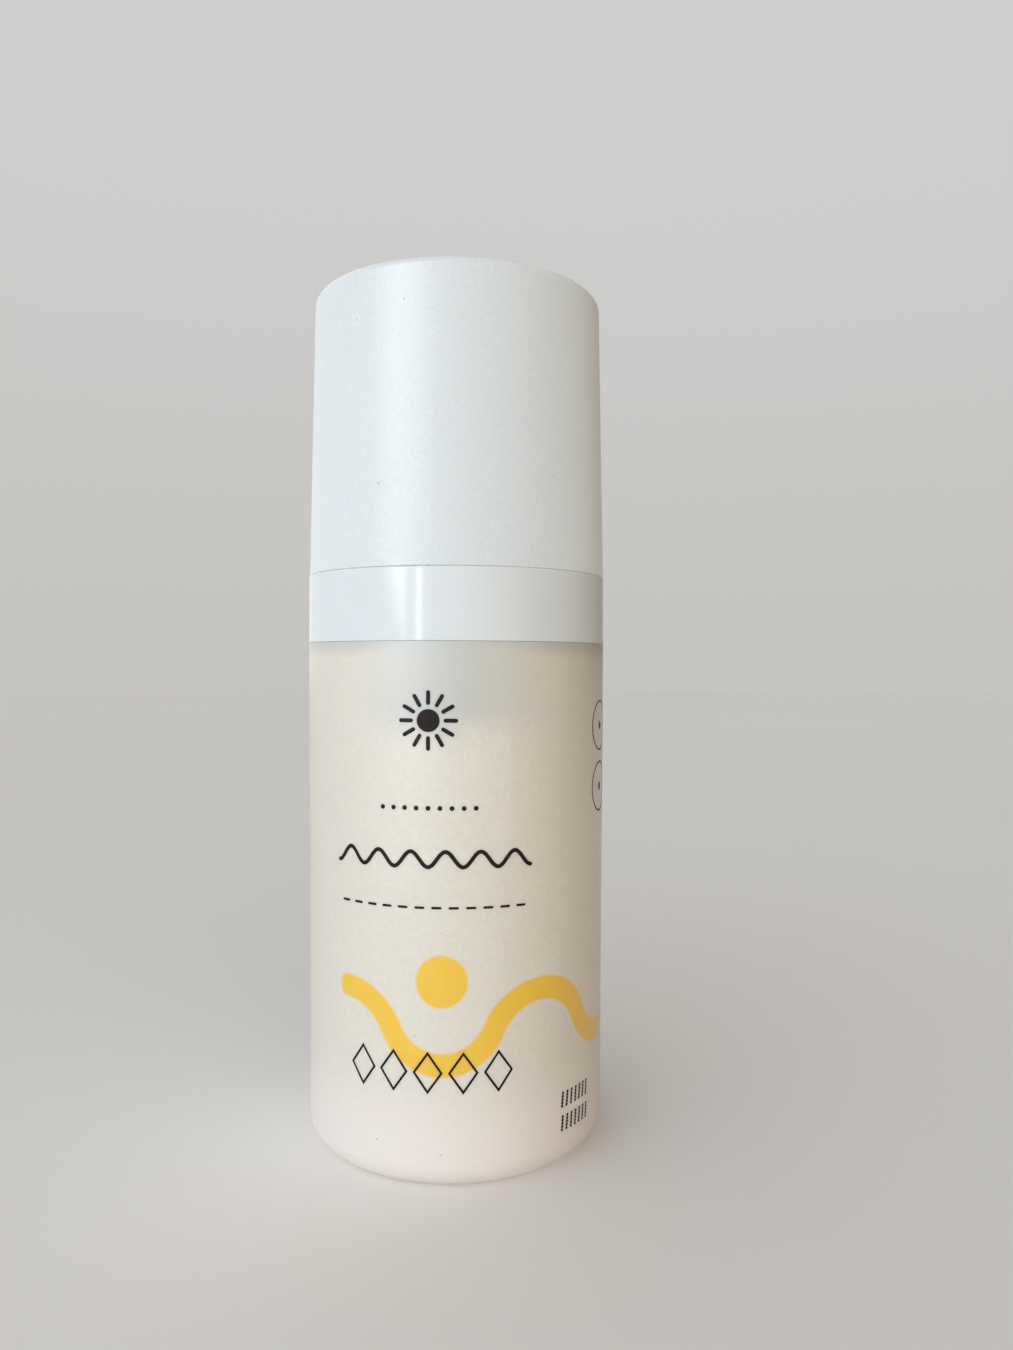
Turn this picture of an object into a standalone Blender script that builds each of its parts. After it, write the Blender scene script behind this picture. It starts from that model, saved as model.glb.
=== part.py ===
"""Airless dispenser bottle with a push-on overcap, at its real size in metres.

Z is up and is the axis of every turned piece. The bottle stands on z = 0, and the
middle of its printed front faces -Y, as the spout under the overcap does.
"""

import math

import bmesh
import bpy
from mathutils import Matrix, Vector

# Fits
rest_gap = 0.0003
running_gap = 0.0001
cut_overrun = 0.0020
edge_break = 0.0002
weld_distance = 0.000001

# Facets
round_sides = 48
inner_sides = 32
pump_sides = 20
small_sides = 12
arc_tolerance = 0.00006
sharp_angle = math.radians(35)
millimetres_per_metre = 1000

# Body shell: translucent cylinder with a rounded base, a vent and a snap neck
body_radius = 0.0250
body_draft = 0.0003
body_height = 0.08235
body_wall = 0.0022
body_base_edge = 0.0045
body_shoulder_edge = 0.0003
standing_ring_width = 0.0018
base_recess_depth = 0.0015
base_recess_run = 0.0012
base_thickness = 0.0020
base_corner = 0.0010
vent_radius = 0.0006
neck_step = 0.0012
neck_height = 0.0060
neck_bead = 0.00025
neck_bead_width = 0.0010
neck_bead_height = 0.0042

bore_radius = body_radius - body_wall
floor_height = base_recess_depth + base_thickness
neck_radius = body_radius - neck_step
neck_top = body_height + neck_height

# Plate seal and closure plate: the lid that plugs the bore and carries the pump
seal_thickness = 0.0008
seal_inset = 0.0001
plate_flange_thickness = 0.0012
plug_length = 0.00915
plug_wall = 0.0012
dish_step = 0.0017
dish_run = 0.0008
dish_depth = 0.0046
plate_thickness = 0.0018
retaining_ring_wall = 0.0010
retaining_ring_height = 0.0034

flange_bottom = neck_top + seal_thickness + 2 * rest_gap
flange_top = flange_bottom + plate_flange_thickness
plug_radius = bore_radius - running_gap
plug_bottom = flange_bottom - plug_length
plate_bottom = plug_bottom - dish_depth
plate_top = plate_bottom + plate_thickness

# Collar: the glossy ring, with the spigot for the overcap and the actuator's well
body_seam = 0.0002
collar_ledge_thickness = 0.0020
collar_edge = 0.0004
collar_wall = 0.0012
collar_bead = 0.0002
collar_bead_width = 0.0010
collar_bead_height = 0.0020
spigot_height = 0.0075
spigot_bead = 0.00025
spigot_bead_width = 0.0012
spigot_bead_height = 0.0042
spigot_edge = 0.0006
deck_width = 0.0064
well_depth = 0.0080

collar_bottom = body_height + body_seam
collar_ledge_under = flange_top + rest_gap
collar_ledge = collar_ledge_under + collar_ledge_thickness
deck_top = collar_ledge + spigot_height

# Overcap: the tall matte cover
cap_seam = 0.0003
cap_inset = 0.0001
cap_headroom = 0.00655
cap_draft = 0.0009
cap_wall = 0.0015
cap_top_thickness = 0.0016
cap_top_edge = 0.0014
cap_inner_edge = 0.0008
cap_rim_edge = 0.0003
cap_bead = 0.00025
cap_bead_width = 0.0012
cap_bead_height = 0.0020

cap_bottom = collar_ledge + cap_seam
cap_radius = body_radius - cap_inset
cap_bore = cap_radius - cap_wall
spigot_radius = cap_bore - cap_bead - running_gap - spigot_bead
well_radius = spigot_radius - deck_width

# Follower: the piston that rises under the cream
follower_height = 0.0132
follower_lip = 0.0005
follower_lip_height = 0.0015
follower_lip_wall = 0.0008
follower_lip_run = 0.0026
follower_wall = 0.0011
follower_web = 0.0012
follower_web_drop = 0.0046
follower_recess_floor = 0.0010
follower_recess_clearance = 0.0013

# Pump housing: the cylinder in the plate, with the inlet ball's seat at its foot
housing_bore = 0.0060
housing_wall = 0.0013
housing_reach = 0.0080
housing_flange_width = 0.0039
housing_flange_thickness = 0.0012
housing_gasket_thickness = 0.0008
inlet_radius = 0.0014
inlet_length = 0.0014
seat_height = 0.0012
valve_chamber_height = 0.0036
inlet_pipe_wall = 0.0015
housing_floor = 0.0012
ball_radius = 0.0020
ball_clearance = 0.0005

valve_chamber_radius = ball_radius + ball_clearance
housing_radius = housing_bore + housing_wall
housing_bottom = plate_bottom - housing_reach
seat_bottom = housing_bottom + inlet_length
seat_top = seat_bottom + seat_height
chamber_floor = seat_top + valve_chamber_height
housing_flange_radius = housing_radius + housing_flange_width
housing_flange_bottom = plate_top + housing_gasket_thickness + 2 * rest_gap

# Ball retainer: the drilled disc that keeps the inlet ball in
retainer_thickness = 0.0007
retainer_hole_radius = 0.0009
retainer_hole_circle = 0.0018
retainer_holes = 3

# Stem, its plug and the piston that slides a little on it
stroke = 0.0045
stroke_clearance = 0.0005
plug_flange_clearance = 0.0010
plug_flange_thickness = 0.0012
plug_shaft_wall = 0.0006
plug_shaft_height = 0.0012
plug_spigot_clearance = 0.00015
plug_spigot_height = 0.0040
piston_height = 0.0039
piston_lip = 0.0006
piston_lip_height = 0.0009
piston_lip_run = 0.0006
piston_lip_wall = 0.0008
piston_cup_depth = 0.0013
piston_sleeve_wall = 0.0008
piston_cup_draft = 0.0002
piston_travel = 0.0008
stem_radius = 0.0025
stem_bore = 0.0013
stem_shoulder = 0.0009
stem_shoulder_thickness = 0.0007
stem_port_radius = 0.0005
stem_socket_depth = 0.0080

plug_flange_radius = housing_bore - plug_flange_clearance
retainer_bottom = chamber_floor + rest_gap
stem_plug_bottom = retainer_bottom + retainer_thickness + stroke + stroke_clearance
piston_bottom = stem_plug_bottom + plug_flange_thickness + rest_gap
stem_bottom = stem_plug_bottom + plug_flange_thickness + plug_shaft_height + rest_gap
stem_shoulder_bottom = piston_bottom + piston_height + piston_travel + rest_gap

# Housing cap: guides the stem and stops its shoulder
guide_plug_depth = 0.0007
guide_thickness = 0.0012
guide_skirt_wall = 0.0012
guide_skirt_height = 0.0038

guide_bottom = stem_shoulder_bottom + stem_shoulder_thickness + rest_gap
housing_top = guide_bottom + guide_plug_depth - rest_gap
guide_top = guide_bottom + guide_plug_depth + guide_thickness

# Pump spring
spring_length = 0.0112
spring_wire = 0.0007
spring_turns = 6
spring_end_turns = 1
spring_end_gap = 0.0005
spring_points = 8
spring_clearance = 0.0010

# Actuator core: stem socket, channel and spout
core_bottom = guide_top + spring_length + 2 * rest_gap
core_socket_wall = 0.0026
core_column_wall = 0.0029
core_socket_height = 0.0110
core_flare = 0.0010
core_disc_gap = 0.0021
core_disc_thickness = 0.0012
core_above_spout = 0.0060
spout_above_core = 0.0197
spout_root_radius = 0.0042
spout_tip_radius = 0.0033
spout_proud = 0.0043

stem_top = core_bottom + stem_socket_depth
spout_height = core_bottom + spout_above_core
core_top = spout_height + core_above_spout + core_disc_thickness

# Actuator shell: the button that a finger presses
shell_draft = 0.0006
shell_wall = 0.0013
shell_top_thickness = 0.0030
shell_top_edge = 0.0028
shell_rim_edge = 0.0004
shell_skirt_drop = 0.0063
dimple_depth = 0.0011
dimple_rim = 0.0044
dimple_steps = 4
well_clearance = 0.0004
window_clearance = 0.0003

shell_radius = well_radius - well_clearance
shell_top_radius = shell_radius - shell_draft
shell_bottom = core_bottom - shell_skirt_drop
shell_top = core_top + rest_gap + shell_top_thickness
dimple_radius = shell_top_radius - dimple_rim
core_disc_radius = shell_top_radius - shell_wall - core_disc_gap
spout_reach = shell_radius + spout_proud
cap_height = shell_top + cap_headroom + cap_top_thickness - cap_bottom

# Nozzle insert: the small outlet plug in the spout
insert_radius = 0.0023
insert_length = 0.0028
insert_flange_radius = 0.0028
insert_flange_thickness = 0.0007
insert_orifice = 0.0009
insert_edge = 0.0002


def clear_scene():
    for obj in list(bpy.data.objects):
        bpy.data.objects.remove(obj, do_unlink=True)


def new_collection(name, shown=True):
    group = bpy.data.collections.new(name)
    group.hide_render = not shown
    bpy.context.scene.collection.children.link(group)
    return group


def plastic(name, colour, roughness, transmission=0.0, metallic=0.0):
    """A Principled material with the part's own colour and gloss."""
    material = bpy.data.materials.new(name)
    material.use_nodes = True
    shader = material.node_tree.nodes["Principled BSDF"]
    shader.inputs["Base Color"].default_value = (*colour, 1.0)
    shader.inputs["Roughness"].default_value = roughness
    shader.inputs["Metallic"].default_value = metallic
    shader.inputs["Transmission Weight"].default_value = transmission
    material.diffuse_color = (*colour, 1.0)
    return material


def part_materials():
    """Every piece's material, by its plain name."""
    return {
        "frosted_pp": plastic(
            "frosted_pp", colour=(0.84, 0.78, 0.71), roughness=0.45, transmission=0.25
        ),
        "gloss_white_pp": plastic(
            "gloss_white_pp", colour=(0.77, 0.80, 0.82), roughness=0.15
        ),
        "matte_white_pp": plastic(
            "matte_white_pp", colour=(0.76, 0.79, 0.80), roughness=0.55
        ),
        "satin_white_pp": plastic(
            "satin_white_pp", colour=(0.80, 0.81, 0.81), roughness=0.35
        ),
        "natural_pp": plastic(
            "natural_pp", colour=(0.80, 0.80, 0.76), roughness=0.40, transmission=0.20
        ),
        "soft_pe": plastic("soft_pe", colour=(0.82, 0.81, 0.78), roughness=0.50),
        "seal_tpe": plastic("seal_tpe", colour=(0.70, 0.70, 0.70), roughness=0.70),
        "spring_steel": plastic(
            "spring_steel", colour=(0.62, 0.61, 0.59), roughness=0.25, metallic=1.0
        ),
        "ball_glass": plastic(
            "ball_glass", colour=(0.86, 0.90, 0.90), roughness=0.05, transmission=0.90
        ),
    }


def rounded(corners):
    """Turns corners (radius, height) or (radius, height, fillet) into outline points."""
    points = []
    for place, corner in enumerate(corners):
        here = Vector(corner[:2])
        fillet = corner[2] if len(corner) == 3 else 0
        if not fillet:
            points.append(here)
            continue
        back = (Vector(corners[place - 1][:2]) - here).normalized()
        ahead = (Vector(corners[(place + 1) % len(corners)][:2]) - here).normalized()
        half = back.angle(ahead) / 2
        centre = here + (back + ahead).normalized() * fillet / math.sin(half)
        spoke = here + back * fillet / math.tan(half) - centre
        turn = math.copysign(math.pi - 2 * half, ahead.cross(back))
        widest_step = 2 * math.acos(1 - min(arc_tolerance / fillet, 1))
        steps = math.ceil(abs(turn) / widest_step)
        for step in range(steps + 1):
            points.append(centre + Matrix.Rotation(turn * step / steps, 2) @ spoke)
    return points


def add_object(name, mesh, group, material, parent=None, place=(0, 0, 0)):
    obj = bpy.data.objects.new(name, mesh)
    if material:
        mesh.materials.append(material)
    group.objects.link(obj)
    obj.parent = parent
    obj.matrix_world = Matrix.Translation(place)
    return obj


def settle(obj):
    """Keeps the shape that the modifiers make as the object's own mesh, shaded smooth."""
    bpy.context.view_layer.update()
    evaluated = obj.evaluated_get(bpy.context.evaluated_depsgraph_get())
    mesh = bpy.data.meshes.new_from_object(evaluated)
    mesh.name = obj.name
    obj.modifiers.clear()
    obj.data = mesh
    mesh.shade_smooth()
    mesh.set_sharp_from_angle(angle=sharp_angle)
    return obj


def turned(name, corners, sides, material, group, parent=None, height=0):
    """A piece turned round Z. The corners run down its outer side and back up its inner one.

    An outline that starts and ends on the axis is a solid one, and any other is a ring.
    """
    points = rounded(corners)
    mesh = bpy.data.meshes.new(name)
    edges = [(place, place + 1) for place in range(len(points) - 1)]
    if corners[0][0] > 0:
        edges.append((len(points) - 1, 0))
    mesh.from_pydata([(point.x, 0, point.y) for point in points], edges, [])
    obj = add_object(name, mesh, group, material, parent, (0, 0, height))
    screw = obj.modifiers.new("turn", "SCREW")
    screw.steps = sides
    screw.render_steps = sides
    screw.use_merge_vertices = True
    screw.merge_threshold = weld_distance
    return settle(obj)


def rod(name, radius_1, radius_2, start, end, sides, group, material=None):
    """A round bar or cone from start to end."""
    start, end = Vector(start), Vector(end)
    shape = bmesh.new()
    bmesh.ops.create_cone(
        shape,
        cap_ends=True,
        segments=sides,
        radius1=radius_1,
        radius2=radius_2,
        depth=(end - start).length,
    )
    mesh = bpy.data.meshes.new(name)
    shape.to_mesh(mesh)
    shape.free()
    obj = add_object(name, mesh, group, material)
    turn = (end - start).to_track_quat("Z", "Y").to_matrix().to_4x4()
    obj.matrix_world = Matrix.Translation((start + end) / 2) @ turn
    return obj


def combine(obj, tools, operation):
    """Joins or cuts the object with each tool, and keeps the result as its mesh."""
    for tool in tools:
        tool.hide_render = True
        tool.display_type = "WIRE"
        boolean = obj.modifiers.new(tool.name, "BOOLEAN")
        boolean.operation = operation
        boolean.object = tool
    return settle(obj)


def bead_corners(radius, height, bead, width):
    """A snap bead up a wall, standing out of it by bead: outwards when positive."""
    return [
        (radius, height - width / 2),
        (radius + bead, height - width / 4),
        (radius + bead, height + width / 4),
        (radius, height + width / 2),
    ]


def make_body_shell(group, material):
    ring_outer = body_radius - body_draft - body_base_edge
    ring_inner = ring_outer - standing_ring_width
    outline = [
        (body_radius, body_height, body_shoulder_edge),
        (body_radius - body_draft, 0, body_base_edge),
        (ring_inner, 0, edge_break),
        (ring_inner - base_recess_run, base_recess_depth),
        (vent_radius, base_recess_depth),
        (vent_radius, floor_height),
        (bore_radius, floor_height, base_corner),
        (bore_radius, neck_top, edge_break),
        (neck_radius, neck_top, edge_break),
        *reversed(
            bead_corners(neck_radius, body_height + neck_bead_height, neck_bead, neck_bead_width)
        ),
        (neck_radius, body_height),
    ]
    return turned("body_shell", outline, round_sides, material, group)


def make_plate_seal(group, material):
    outline = [
        (neck_radius - seal_inset, seal_thickness),
        (neck_radius - seal_inset, 0),
        (bore_radius + seal_inset, 0),
        (bore_radius + seal_inset, seal_thickness),
    ]
    return turned(
        "plate_seal", outline, inner_sides, material, group, height=neck_top + rest_gap
    )


def make_closure_plate(group, material):
    plug_inner = plug_radius - plug_wall
    dish_top = plug_radius - dish_step
    dish_foot = dish_top - dish_run
    hole_radius = housing_radius + rest_gap
    ring_inner = housing_flange_radius + rest_gap
    ring_outer = ring_inner + retaining_ring_wall
    plug = plug_bottom - plate_bottom
    outline = [
        (neck_radius, flange_top - plate_bottom, edge_break),
        (neck_radius, flange_bottom - plate_bottom, edge_break),
        (plug_radius, flange_bottom - plate_bottom),
        (plug_radius, plug, edge_break),
        (dish_top, plug),
        (dish_foot, 0, plate_thickness),
        (hole_radius, 0),
        (hole_radius, plate_thickness),
        (ring_inner, plate_thickness),
        (ring_inner, plate_thickness + retaining_ring_height),
        (ring_outer, plate_thickness + retaining_ring_height),
        (ring_outer, plate_thickness),
        (dish_foot - plug_wall, plate_thickness),
        (dish_top - plug_wall, plug + plug_wall),
        (plug_inner, plug + plug_wall),
        (plug_inner, flange_top - plate_bottom, edge_break),
    ]
    return turned("closure_plate", outline, inner_sides, material, group, height=plate_bottom)


def make_collar(group, material):
    skirt_radius = neck_radius + neck_bead + running_gap
    ledge_under = collar_ledge_under - collar_bottom
    spigot_inner = spigot_radius - collar_wall
    ledge = collar_ledge - collar_bottom
    deck = deck_top - collar_bottom
    outline = [
        (body_radius, ledge, collar_edge),
        (body_radius, 0, edge_break),
        (skirt_radius, 0, edge_break),
        *bead_corners(skirt_radius, collar_bead_height, -collar_bead, collar_bead_width),
        (skirt_radius, ledge_under),
        (spigot_inner, ledge_under),
        (spigot_inner, deck - collar_wall),
        (well_radius + collar_wall, deck - collar_wall),
        (well_radius + collar_wall, deck - well_depth),
        (well_radius, deck - well_depth),
        (well_radius, deck, edge_break),
        (spigot_radius, deck, spigot_edge),
        *reversed(
            bead_corners(spigot_radius, ledge + spigot_bead_height, spigot_bead, spigot_bead_width)
        ),
        (spigot_radius, ledge),
    ]
    return turned("collar", outline, round_sides, material, group, height=collar_bottom)


def make_overcap(group, material, frame):
    top_radius = cap_radius - cap_draft
    ceiling = cap_height - cap_top_thickness
    outline = [
        (0, cap_height),
        (top_radius, cap_height, cap_top_edge),
        (cap_radius, 0, cap_rim_edge),
        (cap_bore, 0, cap_rim_edge),
        *bead_corners(cap_bore, cap_bead_height, -cap_bead, cap_bead_width),
        (top_radius - cap_wall, ceiling, cap_inner_edge),
        (0, ceiling),
    ]
    return turned("overcap", outline, round_sides, material, group, frame, cap_bottom)


def make_follower(group, material, frame):
    lip_radius = bore_radius - running_gap
    lip_inner = lip_radius - follower_lip_wall
    skirt_radius = lip_radius - follower_lip
    skirt_inner = skirt_radius - follower_wall
    recess_inner = housing_radius + follower_recess_clearance
    recess_outer = recess_inner + follower_recess_floor
    skirt_bottom = base_corner
    skirt_top = skirt_bottom + follower_height
    web_top = skirt_top - follower_web_drop
    outline = [
        (0, follower_recess_floor),
        (recess_inner, follower_recess_floor),
        (recess_inner, web_top),
        (skirt_inner, web_top),
        (skirt_inner, skirt_top - follower_lip_run),
        (lip_inner, skirt_top),
        (lip_radius, skirt_top),
        (lip_radius, skirt_top - follower_lip_height),
        (skirt_radius, skirt_top - follower_lip_run),
        (skirt_radius, skirt_bottom + follower_lip_run),
        (lip_radius, skirt_bottom + follower_lip_height),
        (lip_radius, skirt_bottom),
        (lip_inner, skirt_bottom),
        (skirt_inner, skirt_bottom + follower_lip_run),
        (skirt_inner, web_top - follower_web),
        (recess_outer, web_top - follower_web),
        (recess_outer, 0),
        (0, 0),
    ]
    return turned(
        "follower_piston", outline, inner_sides, material, group, frame, floor_height + rest_gap
    )


def make_pump_housing(group, material):
    pipe_radius = valve_chamber_radius + inlet_pipe_wall
    flange = housing_flange_bottom - housing_bottom
    floor = chamber_floor - housing_bottom
    top = housing_top - housing_bottom
    outline = [
        (housing_radius, top, edge_break),
        (housing_radius, flange + housing_flange_thickness),
        (housing_flange_radius, flange + housing_flange_thickness, edge_break),
        (housing_flange_radius, flange),
        (housing_radius, flange),
        (housing_radius, floor - housing_floor, edge_break),
        (pipe_radius, floor - housing_floor),
        (pipe_radius, 0, edge_break),
        (inlet_radius, 0),
        (inlet_radius, inlet_length),
        (valve_chamber_radius, inlet_length + seat_height),
        (valve_chamber_radius, floor),
        (housing_bore, floor),
        (housing_bore, top),
    ]
    return turned("pump_housing", outline, pump_sides, material, group, height=housing_bottom)


def make_housing_gasket(group, material):
    outline = [
        (housing_flange_radius, housing_gasket_thickness),
        (housing_flange_radius, 0),
        (housing_radius + rest_gap, 0),
        (housing_radius + rest_gap, housing_gasket_thickness),
    ]
    return turned(
        "housing_gasket", outline, pump_sides, material, group, height=plate_top + rest_gap
    )


def make_housing_cap(group, material):
    bore = stem_radius + running_gap
    skirt_inner = housing_radius + rest_gap
    skirt_outer = skirt_inner + guide_skirt_wall
    under = guide_plug_depth
    top = guide_plug_depth + guide_thickness
    outline = [
        (skirt_outer, top, edge_break),
        (skirt_outer, under - guide_skirt_height, edge_break),
        (skirt_inner, under - guide_skirt_height),
        (skirt_inner, under),
        (housing_bore - running_gap, under),
        (housing_bore - running_gap, 0, edge_break),
        (bore, 0),
        (bore, top, edge_break),
    ]
    return turned("housing_cap", outline, pump_sides, material, group, height=guide_bottom)


def ball_height():
    """Height of the ball's centre, at which it clears the seat's cone by the running gap."""
    slope = math.atan2(seat_height, valve_chamber_radius - inlet_radius)
    reach = ball_radius + running_gap
    return seat_bottom + (reach - inlet_radius * math.sin(slope)) / math.cos(slope)


def make_inlet_ball(group, material, frame):
    shape = bmesh.new()
    bmesh.ops.create_uvsphere(
        shape, u_segments=pump_sides, v_segments=pump_sides // 2, radius=ball_radius
    )
    mesh = bpy.data.meshes.new("inlet_ball")
    shape.to_mesh(mesh)
    shape.free()
    mesh.shade_smooth()
    return add_object("inlet_ball", mesh, group, material, frame, (0, 0, ball_height()))


def make_ball_retainer(group, cutters, material):
    radius = housing_bore - running_gap
    centre = Vector((0, 0, retainer_bottom + retainer_thickness / 2))
    half = Vector((0, 0, retainer_thickness / 2))
    disc = rod(
        "ball_retainer", radius, radius, centre - half, centre + half, pump_sides, group, material
    )
    reach = half + Vector((0, 0, cut_overrun))
    drills = []
    for hole in range(retainer_holes):
        angle = math.tau * hole / retainer_holes
        place = centre + Vector((math.cos(angle), math.sin(angle), 0)) * retainer_hole_circle
        drills.append(
            rod(
                f"retainer_drill_{hole + 1}",
                retainer_hole_radius,
                retainer_hole_radius,
                place - reach,
                place + reach,
                small_sides,
                cutters,
            )
        )
    return combine(disc, drills, "DIFFERENCE")


def make_stem_plug(group, material, frame):
    shaft_radius = stem_bore + plug_shaft_wall
    spigot = stem_bore - plug_spigot_clearance
    shaft_top = plug_flange_thickness + plug_shaft_height
    outline = [
        (0, shaft_top + plug_spigot_height),
        (spigot, shaft_top + plug_spigot_height),
        (spigot, shaft_top),
        (shaft_radius, shaft_top),
        (shaft_radius, plug_flange_thickness),
        (plug_flange_radius, plug_flange_thickness, edge_break),
        (plug_flange_radius, 0, edge_break),
        (0, 0),
    ]
    return turned("stem_plug", outline, pump_sides, material, group, frame, stem_plug_bottom)


def make_pump_piston(group, material, frame):
    lip_radius = housing_bore - running_gap
    waist = lip_radius - piston_lip
    lip_inner = lip_radius - piston_lip_wall
    sleeve_inner = stem_radius + running_gap
    sleeve_outer = sleeve_inner + piston_sleeve_wall
    lip_end = piston_lip_height + piston_lip_run
    outline = [
        (lip_radius, piston_height),
        (lip_radius, piston_height - piston_lip_height),
        (waist, piston_height - lip_end),
        (waist, lip_end),
        (lip_radius, piston_lip_height),
        (lip_radius, 0),
        (lip_inner, 0),
        (lip_inner - piston_cup_draft, piston_cup_depth),
        (sleeve_outer + piston_cup_draft, piston_cup_depth),
        (sleeve_outer, 0),
        (sleeve_inner, 0),
        (sleeve_inner, piston_height),
        (sleeve_outer, piston_height),
        (sleeve_outer + piston_cup_draft, piston_height - piston_cup_depth),
        (lip_inner - piston_cup_draft, piston_height - piston_cup_depth),
        (lip_inner, piston_height),
    ]
    return turned("pump_piston", outline, pump_sides, material, group, frame, piston_bottom)


def make_stem(group, cutters, material, frame):
    shoulder_radius = stem_radius + stem_shoulder
    shoulder = stem_shoulder_bottom - stem_bottom
    top = stem_top - stem_bottom
    outline = [
        (stem_radius, top, edge_break),
        (stem_radius, shoulder + stem_shoulder_thickness),
        (shoulder_radius, shoulder + stem_shoulder_thickness),
        (shoulder_radius, shoulder),
        (stem_radius, shoulder),
        (stem_radius, 0),
        (stem_bore, 0),
        (stem_bore, top),
    ]
    stem = turned("stem", outline, pump_sides, material, group, frame, stem_bottom)
    port_height = stem_bottom + 2 * stem_port_radius
    reach = stem_radius + cut_overrun
    port = rod(
        "stem_port_drill",
        stem_port_radius,
        stem_port_radius,
        (-reach, 0, port_height),
        (reach, 0, port_height),
        small_sides,
        cutters,
    )
    return combine(stem, [port], "DIFFERENCE")


def spring_path():
    """Points up the coil: close end turns below and above, and open turns between."""
    radius = stem_radius + spring_clearance + spring_wire / 2
    bottom = guide_top + rest_gap + spring_wire / 2
    rise = spring_length - spring_wire
    end_pitch = spring_wire + spring_end_gap
    open_pitch = (rise - 2 * spring_end_turns * end_pitch) / (spring_turns - 2 * spring_end_turns)
    height = bottom
    path = []
    for place in range(spring_turns * spring_points + 1):
        turn = place / spring_points
        angle = math.tau * turn
        path.append(Vector((radius * math.cos(angle), radius * math.sin(angle), height)))
        at_end = turn < spring_end_turns or turn >= spring_turns - spring_end_turns
        height += (end_pitch if at_end else open_pitch) / spring_points
    return path


def least_turn_gap(path):
    """The least space between the coil and its own next turns."""
    apart = spring_points // 2
    centres = [
        (here - there).length
        for place, here in enumerate(path)
        for there in path[place + apart :]
    ]
    return min(centres) - spring_wire


def make_pump_spring(group, material):
    """A coil round the stem, between the housing cap and the actuator core."""
    path = spring_path()
    curve = bpy.data.curves.new("pump_spring", "CURVE")
    curve.dimensions = "3D"
    curve.bevel_depth = spring_wire / 2
    curve.bevel_resolution = 1
    curve.use_fill_caps = True
    coil = curve.splines.new("POLY")
    coil.points.add(len(path) - 1)
    for point, place in zip(coil.points, path):
        point.co = (*place, 1)
    curve.materials.append(material)
    spring = bpy.data.objects.new("pump_spring", curve)
    group.objects.link(spring)
    least_gap = least_turn_gap(path) * millimetres_per_metre
    print(f"least gap between the spring's turns: {least_gap:.2f} mm")
    return spring


def make_actuator_core(group, cutters, material, frame):
    socket_radius = stem_radius + running_gap
    socket_outer = socket_radius + core_socket_wall
    column = stem_bore + core_column_wall
    socket_top = stem_socket_depth + rest_gap
    spout = spout_height - core_bottom
    top = core_top - core_bottom
    outline = [
        (0, top),
        (core_disc_radius, top, edge_break),
        (core_disc_radius, top - core_disc_thickness),
        (column, top - core_disc_thickness),
        (column, core_socket_height + core_flare),
        (socket_outer, core_socket_height),
        (socket_outer, 0),
        (socket_radius, 0),
        (socket_radius, socket_top),
        (stem_bore, socket_top),
        (stem_bore, spout + stem_bore),
        (0, spout + stem_bore),
    ]
    core = turned("actuator_core", outline, pump_sides, material, group, frame, core_bottom)
    root = Vector((0, -(stem_bore + core_column_wall / 2), spout_height))
    tip = Vector((0, -spout_reach, spout_height))
    spout_arm = rod(
        "spout_arm", spout_root_radius, spout_tip_radius, root, tip, pump_sides, cutters
    )
    combine(core, [spout_arm], "UNION")
    past_tip = tip - Vector((0, cut_overrun, 0))
    channel = rod(
        "spout_channel_drill",
        stem_bore,
        stem_bore,
        (0, 0, spout_height),
        past_tip,
        small_sides,
        cutters,
    )
    pocket_radius = insert_radius + running_gap
    pocket = rod(
        "spout_pocket_drill",
        pocket_radius,
        pocket_radius,
        tip + Vector((0, insert_length + rest_gap, 0)),
        past_tip,
        pump_sides,
        cutters,
    )
    return combine(core, [channel, pocket], "DIFFERENCE")


def make_actuator_shell(group, cutters, material, frame):
    top = shell_top - shell_bottom
    ceiling = core_top + rest_gap - shell_bottom
    dimple = []
    for step in range(dimple_steps + 1):
        share = step / dimple_steps
        dimple.append((dimple_radius * share, top - dimple_depth * (1 - share * share)))
    outline = [
        *dimple,
        (shell_top_radius, top, shell_top_edge),
        (shell_radius, 0, shell_rim_edge),
        (shell_radius - shell_wall, 0, shell_rim_edge),
        (shell_top_radius - shell_wall, ceiling, shell_wall),
        (0, ceiling),
    ]
    shell = turned("actuator_shell", outline, inner_sides, material, group, frame, shell_bottom)
    window_radius = spout_root_radius + window_clearance
    window = rod(
        "spout_window_drill",
        window_radius,
        window_radius,
        (0, -(shell_top_radius - shell_wall - cut_overrun), spout_height),
        (0, -(shell_radius + cut_overrun), spout_height),
        pump_sides,
        cutters,
    )
    return combine(shell, [window], "DIFFERENCE")


def make_nozzle_insert(group, material, frame):
    """The insert is turned round Z, then laid along -Y in the spout's mouth."""
    top = insert_length + insert_flange_thickness + rest_gap
    outline = [
        (insert_flange_radius, top, insert_edge),
        (insert_flange_radius, insert_length + rest_gap),
        (insert_radius, insert_length + rest_gap),
        (insert_radius, 0, insert_edge),
        (insert_orifice, 0),
        (insert_orifice, top, insert_edge),
    ]
    insert = turned("nozzle_insert", outline, pump_sides, material, group)
    insert.parent = frame
    seat = Vector((0, -spout_reach + insert_length, spout_height))
    lay = Matrix.Rotation(math.pi / 2, 4, "X")
    insert.matrix_world = Matrix.Translation(seat) @ lay
    return insert


def axis_frame(name, height, parent=None):
    """An empty on the Z axis, which carries the pieces that move together."""
    frame = bpy.data.objects.new(name, None)
    bpy.context.scene.collection.objects.link(frame)
    frame.parent = parent
    frame.matrix_world = Matrix.Translation((0, 0, height))
    bpy.context.view_layer.update()
    return frame


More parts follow.
